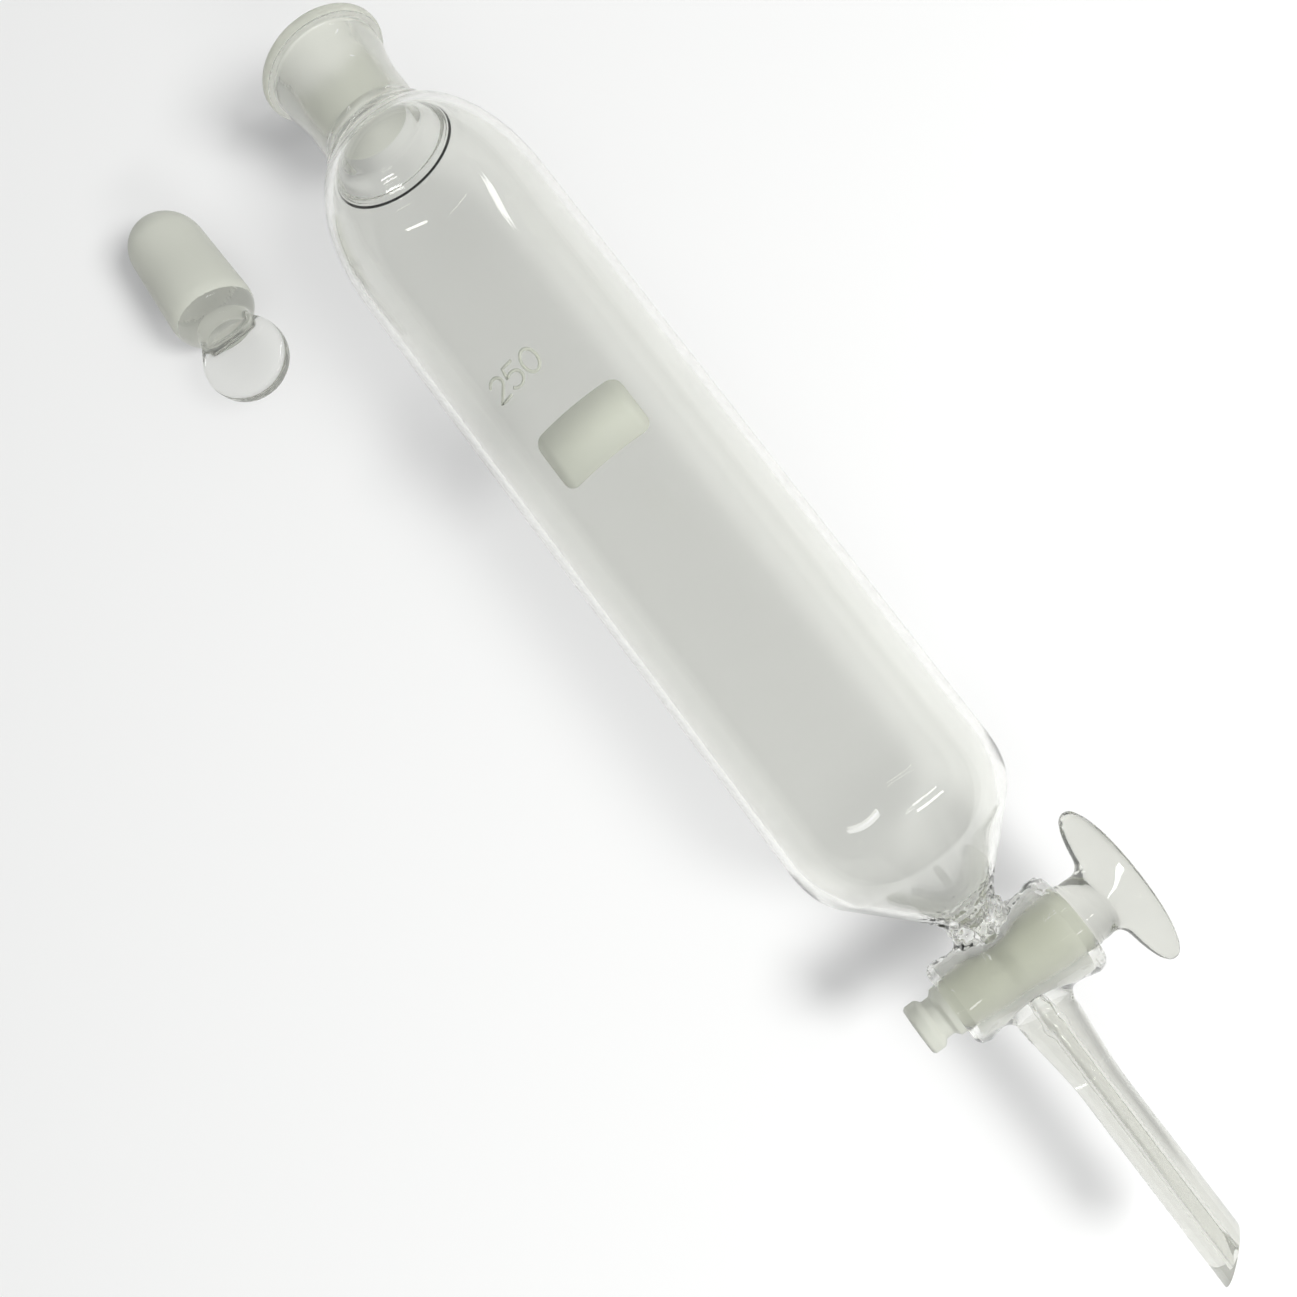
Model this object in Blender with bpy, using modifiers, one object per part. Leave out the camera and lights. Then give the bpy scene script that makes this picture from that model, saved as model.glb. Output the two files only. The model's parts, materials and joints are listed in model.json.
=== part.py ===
"""Separatory funnel, 250 ml, cylindrical, lying on its side with its stopper beside the mouth.

Units are metres. The funnel lies along X with its stem towards +X and the stopcock handle towards +Y.
The origin is on the surface that it lies on, under the middle of the whole arrangement.

Each turned section of glass is drawn upright in its own local frame, as (radius, height) points, and the
empties then lay it down. Heights along the funnel count from the stopcock's axis, up towards the mouth.
"""
import math

import bmesh
import bpy

# ---- driving dimensions ------------------------------------------------------------------------------
GAP = 0.0003                 # clear space between sections that a glassblower would seal together
SEGMENTS = 40                # facets round the large turned parts
FINE_SEGMENTS = 32           # facets round the small ones
GROUND_SLOPE = 0.05          # radius per length of a 1:10 ground taper

BODY_R = 0.025
WALL = 0.0018
CYLINDER_BOTTOM = 0.039
CYLINDER_TOP = 0.198
SHOULDER_R = 0.0145          # radius of the turn from cylinder into cone
CONE_END = 0.015
CONE_END_R = 0.0071
CONE_END_INNER_R = 0.0046
DOME_HEIGHT = 0.0299         # axial half-axis of the dome's ellipse
DOME_EDGE_R = 0.0158         # where the dome turns into the neck's flare
NECK_BOTTOM = 0.2246
NECK_BOTTOM_R = 0.0122
NECK_TOP_R = 0.0133

MOUTH = 0.2481               # height of the mouth's flat ground rim
SOCKET_R = 0.0102            # ground socket's radius at the mouth
SOCKET_LENGTH = 0.020
BEAD_R = 0.0154
BEAD_HALF = 0.00145

INLET_R = 0.0062
INLET_FOOT = 0.0060          # height at which the inlet tube meets the barrel
INLET_FOOT_R = 0.0072
INLET_NARROWS = 0.0107       # height at which its bore narrows to the flow bore
FLOW_R = 0.0016              # bore through the barrel's walls and the stem
PLUG_BORE_R = 0.0015

BARREL_LARGE_END = 0.0158    # handle side
BARREL_SMALL_END = -0.0149
LARGE_FLANGE_R = 0.0109
SMALL_FLANGE_R = 0.00925
LARGE_WAIST_R = 0.0101
SMALL_WAIST_R = 0.0086
FLANGE_WIDTH = 0.0058        # from a flat end to where the plain barrel starts
BARREL_BORE_R = 0.0062       # bore's radius at the funnel's axis
PLUG_CLEARANCE = 0.00012
PLUG_LARGE_END = 0.0172
PLUG_SMALL_END = -0.0232
GROOVE_R = 0.0042
GROOVE_TOP = -0.0173
GROOVE_BOTTOM = -0.0192
BUTTON_R = 0.0053
EDGE = 0.0004                # width of a small rounded edge

STALK_R = 0.0067
WING_CENTRE = 0.0272
WING_HALF_LENGTH = 0.01785
WING_HALF_HEIGHT = 0.0047
WING_HALF_THICKNESS = 0.0028
WING_POWER = 0.75            # under 1 makes the wing fuller towards its edges than an ellipsoid

STEM_R = 0.0048
STEM_ROOT_R = 0.0066
STEM_ROOT_TOP = -0.006
STEM_ROOT_END = -0.019
STEM_FLARE = 0.011           # length over which the root narrows to the stem
STEM_LONG_SIDE = -0.0733
STEM_SHORT_SIDE = -0.0658

STOPPER_R = 0.0103           # ground taper's large end
STOPPER_GROUND = 0.0190
STOPPER_TIP = -0.0278
STOPPER_NECK_R = 0.0062
STOPPER_SHOULDER = 0.0025    # radius of the turn from taper to neck
HEAD_R = 0.0105
HEAD_CENTRE = 0.0157
HEAD_THICKNESS = 0.0040
HEAD_BEVEL = 0.0011

# ---- where things lie --------------------------------------------------------------------------------
STOPPER_ASIDE = 0.0560       # stopper's axis to the funnel's axis
STOPPER_PAST_MOUTH = 0.0057  # how far the stopper's tip lies beyond the mouth
LAY = math.atan(GROUND_SLOPE)  # a taper lying on its side tips its axis by its half-angle

STOPCOCK_X = (MOUTH + STOPPER_PAST_MOUTH + STEM_LONG_SIDE) / 2
WING_TOP = WING_CENTRE + WING_HALF_HEIGHT
AXIS_Y = (STOPPER_ASIDE + HEAD_R - WING_TOP) / 2
FUNNEL_AT = (STOPCOCK_X, AXIS_Y, BODY_R)
STOPPER_AT = (
    STOPCOCK_X - MOUTH - STOPPER_PAST_MOUTH - STOPPER_TIP * math.cos(LAY),
    AXIS_Y - STOPPER_ASIDE,
    STOPPER_R * math.cos(LAY),
)

CLEAR_GLASS = (0.84, 0.87, 0.85, 1.0)
GROUND_GLASS = (0.76, 0.78, 0.71, 1.0)


# ---- helpers -----------------------------------------------------------------------------------------
def empty_scene():
    for obj in list(bpy.data.objects):
        bpy.data.objects.remove(obj, do_unlink=True)


def make_collection(name):
    collection = bpy.data.collections.new(name)
    bpy.context.scene.collection.children.link(collection)
    return collection


def make_material(name, colour, roughness):
    material = bpy.data.materials.new(name)
    material.use_nodes = True
    shader = material.node_tree.nodes["Principled BSDF"]
    shader.inputs["Base Color"].default_value = colour
    shader.inputs["Roughness"].default_value = roughness
    shader.inputs["Metallic"].default_value = 0.0
    shader.inputs["IOR"].default_value = 1.47
    shader.inputs["Transmission Weight"].default_value = 0.9
    return material


def make_empty(name, parent, location, rotation):
    empty = bpy.data.objects.new(name, None)
    empty.empty_display_size = 0.01
    empty.parent = parent
    empty.location = location
    empty.rotation_euler = rotation
    parts.objects.link(empty)
    return empty


def arc(centre_r, centre_h, half_r, half_h, start, end, count):
    """Points on an ellipse, from start to end degrees, where 0 points outwards and 90 upwards."""
    angles = [math.radians(start + (end - start) * i / (count - 1)) for i in range(count)]
    return [(centre_r + half_r * math.cos(a), centre_h + half_h * math.sin(a)) for a in angles]


def turned(name, collection, profile, segments, closed):
    """Turn (radius, height) points about local Z. They run down the outer side, then up the bore."""
    mesh = bpy.data.meshes.new(name)
    points = [(r, 0.0, h) for r, h in profile]
    edges = [(i, i + 1) for i in range(len(points) - 1)]
    if closed:
        edges.append((len(points) - 1, 0))
    mesh.from_pydata(points, edges, [])
    obj = bpy.data.objects.new(name, mesh)
    collection.objects.link(obj)
    screw = obj.modifiers.new("Turn", "SCREW")
    screw.axis = "Z"
    screw.steps = segments
    screw.render_steps = segments
    screw.use_merge_vertices = True
    screw.merge_threshold = 0.00001
    screw.use_smooth_shade = True
    return obj


def cut(obj, cutter, operation="DIFFERENCE"):
    boolean = obj.modifiers.new("Cut " + cutter.name, "BOOLEAN")
    boolean.operation = operation
    boolean.solver = "EXACT"
    boolean.object = cutter


def as_cutter(obj):
    obj.hide_render = True
    obj.display_type = "WIRE"
    return obj


def cylinder_cutter(name, parent, radius, length, location, rotation):
    mesh = bpy.data.meshes.new(name)
    shape = bmesh.new()
    bmesh.ops.create_cone(
        shape, cap_ends=True, segments=24, radius1=radius, radius2=radius, depth=length
    )
    shape.to_mesh(mesh)
    shape.free()
    obj = bpy.data.objects.new(name, mesh)
    obj.parent = parent
    obj.location = location
    obj.rotation_euler = rotation
    cutters.objects.link(obj)
    return as_cutter(obj)


def finish(obj, parent, material):
    obj.parent = parent
    obj.data.materials.append(material)
    return obj


# ---- vessel ------------------------------------------------------------------------------------------
def body_outline(offset, top_r, bottom_r):
    """The body's wall from the neck down to the cone's end, moved inwards by offset."""
    edge = math.degrees(math.acos(DOME_EDGE_R / BODY_R))
    radius = BODY_R - offset
    turn_r = SHOULDER_R - offset
    turn_h = CYLINDER_BOTTOM
    cone_top_r = BODY_R - SHOULDER_R + turn_r * math.cos(math.radians(45))
    cone_top_h = turn_h - turn_r * math.sin(math.radians(45))
    flare = [(top_r, NECK_BOTTOM), (top_r + 0.0006, NECK_BOTTOM - 0.0014)]
    dome = arc(0, CYLINDER_TOP, radius, DOME_HEIGHT - offset, edge, 0, 8)
    shoulder = arc(BODY_R - SHOULDER_R, turn_h, turn_r, turn_r, 0, -45, 6)
    cone_end = (bottom_r, max(CONE_END, cone_top_h - (cone_top_r - bottom_r)))
    return flare + dome + shoulder + [cone_end, (bottom_r, CONE_END)]


def make_body_shell():
    outer = body_outline(0.0, NECK_BOTTOM_R, CONE_END_R)
    inner = body_outline(WALL, SOCKET_R - 0.0003, CONE_END_INNER_R)
    profile = outer + inner[::-1]
    return turned("body_shell", parts, profile, SEGMENTS, closed=True)


def make_mouth_socket():
    bottom = NECK_BOTTOM + GAP
    bead_h = MOUTH - BEAD_HALF
    bead = arc(BEAD_R - BEAD_HALF, bead_h, BEAD_HALF, BEAD_HALF, 80, -80, 7)
    outer = [(BEAD_R - 2 * BEAD_HALF, MOUTH), *bead, (NECK_TOP_R, MOUTH - 2 * BEAD_HALF - 0.0006)]
    waist = [(NECK_BOTTOM_R + 0.0004, NECK_BOTTOM + 0.012), (NECK_BOTTOM_R, bottom)]
    ground_end_r = SOCKET_R - GROUND_SLOPE * SOCKET_LENGTH
    inner = [
        (SOCKET_R - 0.0003, bottom),
        (ground_end_r + 0.0004, MOUTH - SOCKET_LENGTH - 0.001),
        (ground_end_r, MOUTH - SOCKET_LENGTH),
        (SOCKET_R, MOUTH),
    ]
    return turned("mouth_socket", parts, outer + waist + inner, SEGMENTS, closed=True)


def make_inlet_tube():
    top = CONE_END - GAP
    waist_top = top - (CONE_END_R - INLET_R) * 2
    outer = [(CONE_END_R, top), (INLET_R, waist_top), (INLET_R, INLET_NARROWS), (INLET_FOOT_R, INLET_FOOT)]
    inner = [(FLOW_R, INLET_FOOT), (FLOW_R, INLET_NARROWS), (CONE_END_INNER_R - 2 * GAP, top)]
    tube = turned("inlet_tube", parts, outer + inner, FINE_SEGMENTS, closed=True)
    cut(tube, barrel_room)
    return tube


def bore_r(along):
    """Radius of the barrel's ground bore at a distance along it, positive towards the handle."""
    return BARREL_BORE_R + GROUND_SLOPE * along


def flange(end, inwards, flange_r, waist_r):
    """Outline of one rounded flange, from the barrel's flat end inwards to the plain barrel."""
    shape = [
        (flange_r - 3.5 * EDGE, 0.0),
        (flange_r - EDGE, 0.15),
        (flange_r, 0.45),
        (flange_r - 0.6 * EDGE, 0.7),
        (waist_r, 1.0),
    ]
    return [(r, end + inwards * part * FLANGE_WIDTH) for r, part in shape]


def barrel_outline():
    large = flange(BARREL_LARGE_END, -1, LARGE_FLANGE_R, LARGE_WAIST_R)
    small = flange(BARREL_SMALL_END, 1, SMALL_FLANGE_R, SMALL_WAIST_R)
    return large + small[::-1]


def make_barrel():
    bore = [(bore_r(BARREL_SMALL_END), BARREL_SMALL_END), (bore_r(BARREL_LARGE_END), BARREL_LARGE_END)]
    barrel = turned("stopcock_barrel", parts, barrel_outline() + bore, FINE_SEGMENTS, closed=True)
    cut(barrel, barrel_drill)
    return barrel


def make_delivery_stem():
    root = arc(STEM_ROOT_R, STEM_ROOT_END, STEM_R - STEM_ROOT_R, STEM_FLARE, 90, 0, 5)
    outer = [(STEM_ROOT_R, STEM_ROOT_TOP)] + root + [(STEM_R, STEM_LONG_SIDE)]
    inner = [(FLOW_R, STEM_LONG_SIDE), (FLOW_R, STEM_ROOT_TOP)]
    stem = turned("delivery_stem", parts, outer + inner, FINE_SEGMENTS, closed=True)
    cut(stem, barrel_room)
    cut(stem, tip_cutter)
    return stem


# ---- stopcock plug -----------------------------------------------------------------------------------
def make_plug():
    def ground(along):
        return (bore_r(along) - PLUG_CLEARANCE, along)

    large = [(0.0, PLUG_LARGE_END), (ground(PLUG_LARGE_END)[0] - EDGE, PLUG_LARGE_END)]
    taper = [ground(PLUG_LARGE_END - EDGE), ground(GROOVE_TOP + 2 * EDGE)]
    groove = [(GROOVE_R, GROOVE_TOP), (GROOVE_R, GROOVE_BOTTOM)]
    button = [
        (BUTTON_R - EDGE, GROOVE_BOTTOM - EDGE),
        (BUTTON_R, GROOVE_BOTTOM - 3 * EDGE),
        (BUTTON_R, PLUG_SMALL_END + 2 * EDGE),
        (BUTTON_R - EDGE, PLUG_SMALL_END),
        (0.0, PLUG_SMALL_END),
    ]
    plug = turned("stopcock_plug", parts, large + taper + groove + button, FINE_SEGMENTS, closed=False)
    cut(plug, plug_drill)
    return plug


def rounded(value, power):
    return math.copysign(abs(value) ** power, value)


def make_wing():
    """A flattened, slightly squared ellipsoid, long in local Y, deep in Z and thin in X."""
    mesh = bpy.data.meshes.new("wing")
    shape = bmesh.new()
    bmesh.ops.create_uvsphere(shape, u_segments=20, v_segments=14, radius=1.0)
    for vertex in shape.verts:
        x, y, z = vertex.co
        vertex.co = (
            WING_HALF_THICKNESS * rounded(x, WING_POWER),
            WING_HALF_LENGTH * rounded(z, WING_POWER),
            WING_HALF_HEIGHT * rounded(-y, WING_POWER),
        )
    bmesh.ops.recalc_face_normals(shape, faces=shape.faces)
    shape.to_mesh(mesh)
    shape.free()
    wing = bpy.data.objects.new("wing", mesh)
    wing.parent = stopcock_axis
    wing.location = (0, 0, WING_CENTRE)
    cutters.objects.link(wing)
    return as_cutter(wing)


def make_handle():
    bottom = PLUG_LARGE_END + GAP
    shoulder_h = WING_CENTRE - WING_HALF_HEIGHT
    shoulder = arc(0, shoulder_h, STALK_R, WING_HALF_HEIGHT - 2 * EDGE, 90, 0, 5)
    stalk = shoulder + [(STALK_R, bottom + EDGE), (STALK_R - EDGE, bottom), (0.0, bottom)]
    handle = turned("plug_handle", parts, stalk, FINE_SEGMENTS, closed=False)
    cut(handle, wing_shape, "UNION")
    return handle


# ---- stopper -----------------------------------------------------------------------------------------
def make_stopper_taper():
    tip_r = STOPPER_R - GROUND_SLOPE * STOPPER_GROUND
    dome_half = -STOPPER_TIP - STOPPER_GROUND
    dome = arc(0, -STOPPER_GROUND, tip_r, dome_half, 0, -90, 7)[1:-1]
    turn = STOPPER_SHOULDER
    shoulder = arc(STOPPER_R - turn, 0.0, turn, turn, 90, 0, 4)
    neck_top = HEAD_CENTRE - HEAD_R + HEAD_THICKNESS
    profile = [
        (0.0, neck_top),
        (STOPPER_NECK_R, neck_top),
        (STOPPER_NECK_R, turn + 3 * EDGE),
        (STOPPER_NECK_R + EDGE, turn + EDGE),
        *shoulder,
        (tip_r, -STOPPER_GROUND),
        *dome,
        (0.0, STOPPER_TIP),
    ]
    taper = turned("stopper_taper", parts, profile, SEGMENTS, closed=False)
    cut(taper, head_room)
    return taper


def make_stopper_head():
    mesh = bpy.data.meshes.new("stopper_head")
    shape = bmesh.new()
    bmesh.ops.create_cone(
        shape, cap_ends=True, segments=SEGMENTS, radius1=HEAD_R, radius2=HEAD_R, depth=HEAD_THICKNESS
    )
    shape.to_mesh(mesh)
    shape.free()
    mesh.shade_smooth()
    mesh.set_sharp_from_angle(angle=math.radians(50))
    head = bpy.data.objects.new("stopper_head", mesh)
    head.location = (0, 0, HEAD_CENTRE)
    head.rotation_euler = (0, math.radians(90), 0)
    parts.objects.link(head)
    bevel = head.modifiers.new("Rounded edge", "BEVEL")
    bevel.width = HEAD_BEVEL
    bevel.segments = 2
    bevel.limit_method = "ANGLE"
    return head


# ---- assembly ----------------------------------------------------------------------------------------
empty_scene()
parts = make_collection("separatory_funnel")
cutters = make_collection("cutters")
clear = make_material("clear_glass", CLEAR_GLASS, 0.02)
clear_plug = make_material("clear_plug_glass", CLEAR_GLASS, 0.03)
clear_stopper = make_material("clear_stopper_glass", CLEAR_GLASS, 0.03)
ground_vessel = make_material("ground_vessel_glass", GROUND_GLASS, 0.45)
ground_plug = make_material("ground_plug_glass", GROUND_GLASS, 0.45)
ground_stopper = make_material("ground_stopper_glass", GROUND_GLASS, 0.45)

RIGHT = math.radians(90)
funnel_axis = make_empty("funnel_axis", None, FUNNEL_AT, (0, -RIGHT, 0))
stopcock_axis = make_empty("stopcock_axis", funnel_axis, (0, 0, 0), (-RIGHT, 0, 0))
stopper_axis = make_empty("stopper_axis", None, STOPPER_AT, (0, RIGHT - LAY, 0))

waist = [(r + GAP, h) for r, h in barrel_outline()[4:6]]
room = [(0.0, 0.03), (0.0115, 0.03), *waist, (0.0085, -0.03), (0.0, -0.03)]
barrel_room = as_cutter(turned("barrel_room", cutters, room, FINE_SEGMENTS, closed=False))
barrel_room.parent = stopcock_axis
across = (RIGHT, 0, 0)
barrel_drill = cylinder_cutter("barrel_drill", stopcock_axis, FLOW_R, 0.04, (0, 0, 0), across)
plug_drill = cylinder_cutter("plug_drill", stopcock_axis, PLUG_BORE_R, 0.03, (0, 0, 0), across)
head_room = cylinder_cutter(
    "head_room", stopper_axis, HEAD_R + GAP, 0.03, (0, 0, HEAD_CENTRE), (0, RIGHT, 0)
)
wing_shape = make_wing()

slant = math.atan2(2 * STEM_R, STEM_SHORT_SIDE - STEM_LONG_SIDE)
tip_cutter = cylinder_cutter(
    "tip_cutter", funnel_axis, 0.02, 0.04, (0, 0, 0), (math.radians(90) - slant, 0, 0)
)
middle_of_tip = (STEM_LONG_SIDE + STEM_SHORT_SIDE) / 2
tip_cutter.location = (0, 0.02 * math.cos(slant), middle_of_tip - 0.02 * math.sin(slant))

finish(make_body_shell(), funnel_axis, clear)
finish(make_mouth_socket(), funnel_axis, ground_vessel)
finish(make_inlet_tube(), funnel_axis, clear)
finish(make_barrel(), stopcock_axis, ground_vessel)
finish(make_delivery_stem(), funnel_axis, clear)
finish(make_plug(), stopcock_axis, ground_plug)
finish(make_handle(), stopcock_axis, clear_plug)
finish(make_stopper_taper(), stopper_axis, ground_stopper)
finish(make_stopper_head(), stopper_axis, clear_stopper)
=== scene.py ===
"""Looks of a 250 ml cylindrical separatory funnel, lying on a pale bench with its stopper beside it.

The real thing is three pieces of glass: the vessel with its stopcock barrel and stem sealed on, the plug
with its T handle, and the stopper. Each is one closed mesh here. Long plain stretches are turned about
their axis. Where glass was melted together, a distance field with soft joins gives the surface.
Distances along the funnel count from the stopcock's axis, positive towards the stem's tip. Sizes are in
metres, and a name that ends in _R is a radius.
"""

import json
import math

import bmesh
import bpy
import numpy as np
from mathutils import Matrix, Quaternion, Vector


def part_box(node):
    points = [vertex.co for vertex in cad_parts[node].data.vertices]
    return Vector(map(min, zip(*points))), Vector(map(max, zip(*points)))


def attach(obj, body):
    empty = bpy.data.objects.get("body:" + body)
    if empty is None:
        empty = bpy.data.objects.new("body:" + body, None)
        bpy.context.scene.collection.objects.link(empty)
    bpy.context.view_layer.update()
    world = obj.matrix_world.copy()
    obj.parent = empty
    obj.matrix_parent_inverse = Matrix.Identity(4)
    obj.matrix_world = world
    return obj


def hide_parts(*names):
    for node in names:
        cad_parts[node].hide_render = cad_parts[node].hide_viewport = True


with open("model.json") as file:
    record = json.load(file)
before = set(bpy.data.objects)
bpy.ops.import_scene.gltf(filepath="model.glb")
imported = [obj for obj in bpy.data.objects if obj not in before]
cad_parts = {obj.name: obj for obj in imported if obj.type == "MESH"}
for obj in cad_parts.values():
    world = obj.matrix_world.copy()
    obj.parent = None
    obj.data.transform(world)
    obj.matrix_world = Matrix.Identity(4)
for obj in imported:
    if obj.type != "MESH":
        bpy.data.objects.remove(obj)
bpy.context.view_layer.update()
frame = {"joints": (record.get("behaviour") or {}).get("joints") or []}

# ---- places, from the frame --------------------------------------------------------------------------
plug_joint = next(j for j in frame["joints"] if j["name"] == "plug_turn")
STOPCOCK = Vector(plug_joint["pos_m"])
BODY_LO, BODY_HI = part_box("body_shell")
SOCKET_LO, SOCKET_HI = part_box("mouth_socket")
STEM_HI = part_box("delivery_stem")[1]
BARREL_LO, BARREL_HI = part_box("stopcock_barrel")
PLUG_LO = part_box("stopcock_plug")[0]
HANDLE_LO, HANDLE_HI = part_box("plug_handle")
TAPER_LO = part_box("stopper_taper")[0]
HEAD_LO, HEAD_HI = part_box("stopper_head")

SKIN = 0.00005               # the visual glass stays this far inside the CAD box
BODY_R = (BODY_HI.z - BODY_LO.z) / 2 - SKIN
MOUTH = SOCKET_LO.x - STOPCOCK.x + SKIN
BEAD_R = (SOCKET_HI.y - SOCKET_LO.y) / 2 - SKIN
TIP = STEM_HI.x - STOPCOCK.x - SKIN
BARREL_SMALL_END = BARREL_LO.y - STOPCOCK.y
BARREL_LARGE_END = BARREL_HI.y - STOPCOCK.y
PLUG_SMALL_END = PLUG_LO.y - STOPCOCK.y
WING_TOP = HANDLE_HI.y - STOPCOCK.y
WING_HALF_LENGTH = (HANDLE_HI.x - HANDLE_LO.x) / 2
STALK_R = (HANDLE_HI.z - HANDLE_LO.z) / 2

# ---- glass sizes -------------------------------------------------------------------------------------
SLOPE = 0.05                 # radius per length of the 1:10 ground tapers
WALL = 0.0018

CYLINDER_TOP = -0.192
DOME_LENGTH = 0.0351
DOME_POWER = 2.3             # a little squarer than an ellipse
DOME_EDGE_R = 0.0158
DOME_INNER_EDGE_R = DOME_EDGE_R - 0.0022
COLLAR_R = 0.0151            # the bulge of glass where neck and dome are sealed together
SEAL_R = 0.0161              # the seal leaves a groove outside and a low ridge inside
SEAL_HALF_WIDTH = 0.0006
GROOVE_DEPTH = 0.0011
RIDGE_HEIGHT = 0.0004
SEAL_LEAN = (-0.6, 0.8)      # the way into the glass there, as (radius, distance)

NECK_END = -0.2246
NECK_R = 0.0122
NECK_TOP_R = 0.0133
BEAD_HALF = 0.00145
BEAD_FROSTED = 1.8 * BEAD_HALF
SOCKET_R = 0.0102
SOCKET_LENGTH = 0.020
GROUND_LENGTH = 0.0195

SHOULDER_TOP = -0.0405
SHOULDER_CORNER = -0.03285
SHOULDER_END = -0.02861
CONE_END = -0.015
CONE_END_R = 0.0071
CONE_BORE_R = 0.0046
INLET_R = 0.0062
FLOW_R = 0.0016              # the passage through the inlet tube and the plug
INLET_LUMPS_AT = -0.0130     # hand-sealed glass is uneven round these two places
ROOT_LUMPS_AT = 0.0125

STEM_BORE_R = 0.0013
STEM_R = 0.0048
STEM_ROOT_R = 0.0066
STEM_FLARE_START = 0.008
STEM_FLARE_END = 0.030
THICK_FROM = 0.0095          # the stem's outside has the deeper glass colour from here on
SLANT = (0.86, 0.3)          # slope of the tip's cut, sideways and upwards
SLANT_LENGTH = 0.012
TIP_MIDDLE = TIP - STEM_R * math.hypot(*SLANT)
LIP = 0.00015

BORE_R = 0.0062              # barrel's ground bore at the funnel's axis
LARGE_FLANGE_R = 0.0109
LARGE_WAIST_R = 0.0101
SMALL_FLANGE_R = 0.00925
SMALL_WAIST_R = 0.0086
FLANGE_WIDTH = 0.0058
JOINT_MARGIN = 0.0024        # the bore is ground to this far from the barrel's ends
SEALED_MELT = 0.0026         # reach of the soft joins between cone, barrel and stem

CLEARANCE = 0.00012
GROOVE_R = 0.0042
BUTTON_R = 0.0053
PLUG_GROUND_END = BARREL_LARGE_END + 0.0014
PLUG_FROSTED_END = BARREL_LARGE_END + 0.0005
WING_HALF_HEIGHT = 0.0047
WING_HALF_THICKNESS = 0.0028
WING_POWER = 2.2
HANDLE_MELT = 0.0035

HEAD_CENTRE = 0.0157
HEAD_THICKNESS = 0.0040
HEAD_EDGE = 0.0013           # radius of the head's rounded edge
HEAD_R = (HEAD_HI.y - HEAD_LO.y) / 2
HEAD_MELT = 0.0030
STOPPER_R = 0.0103
STOPPER_GROUND = 0.0190
STOPPER_FROSTED_END = 0.0025  # the grinding runs a little way onto the shoulder
STOPPER_NECK_R = 0.0062
LAY = math.atan(SLOPE)       # a taper lying on its side tips its axis by its half-angle
STOPPER_AXIS = Vector((math.cos(LAY), 0, math.sin(LAY)))
STOPPER_AT = (HEAD_LO + HEAD_HI) / 2 - HEAD_CENTRE * STOPPER_AXIS
STOPPER_TIP = (TAPER_LO.x - STOPPER_AT.x) / math.cos(LAY) + SKIN
STOPPER_PLACE = Matrix.Translation(STOPPER_AT) @ Matrix.Rotation(-LAY, 4, "Y")

# ---- print on the body, as (distance along the funnel, arc length over its top) ----------------------
PATCH_AT = (-0.1335, -0.0036)
PATCH_HALF = (0.0064, 0.0108)
PATCH_CORNER = 0.0025
NUMERALS_AT = (-0.1500, -0.0150)
NUMERAL_HEIGHT = 0.0051
NUMERAL_WIDTH = 0.0034
NUMERAL_STEP = 0.0044
STROKE = 0.00036             # half the width of a pen stroke
PRINT_R = (BODY_R + 0.000004, BODY_R + 0.00004)  # underside and top of the print

# ---- meshing -----------------------------------------------------------------------------------------
SEGMENTS = 192
CELL = 0.00035               # grid of the distance fields
FAR = -0.03                  # a radius beyond the axis, where the solids' outlines close
FACE_SLACK = 0.00005         # a face this close to a turned surface belongs to it
BORE_SLACK = 0.00003         # the same for the barrel's bore
CUT_ABOVE = -0.018           # where the turned body meets the sealed stopcock
CUT_BELOW = 0.0235           # and where the turned stem does


# ---- outlines ----------------------------------------------------------------------------------------
def bend(start, corner, end, count=8):
    """A soft turn from start to end that heads for the corner first."""
    points = []
    for i in range(count + 1):
        t = i / count
        points.append(tuple(
            (1 - t) ** 2 * a + 2 * t * (1 - t) * b + t * t * c for a, b, c in zip(start, corner, end)
        ))
    return points


def arc(centre_r, centre_a, half_r, half_a, start, end, count=12):
    """(radius, distance) points of an ellipse; 0 degrees points outwards, 90 towards the stem."""
    angles = [math.radians(start + (end - start) * i / count) for i in range(count + 1)]
    return [(centre_r + half_r * math.cos(t), centre_a + half_a * math.sin(t)) for t in angles]


def straight(start, end, count):
    """Evenly spaced points on a straight stretch, both ends included."""
    return [tuple(a + (b - a) * i / count for a, b in zip(start, end)) for i in range(count + 1)]


def cone_r(along, offset):
    """Radius of the 45 degree cone, moved inwards by offset."""
    return CONE_END_R + (CONE_END - along) - offset * math.sqrt(2)


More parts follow.
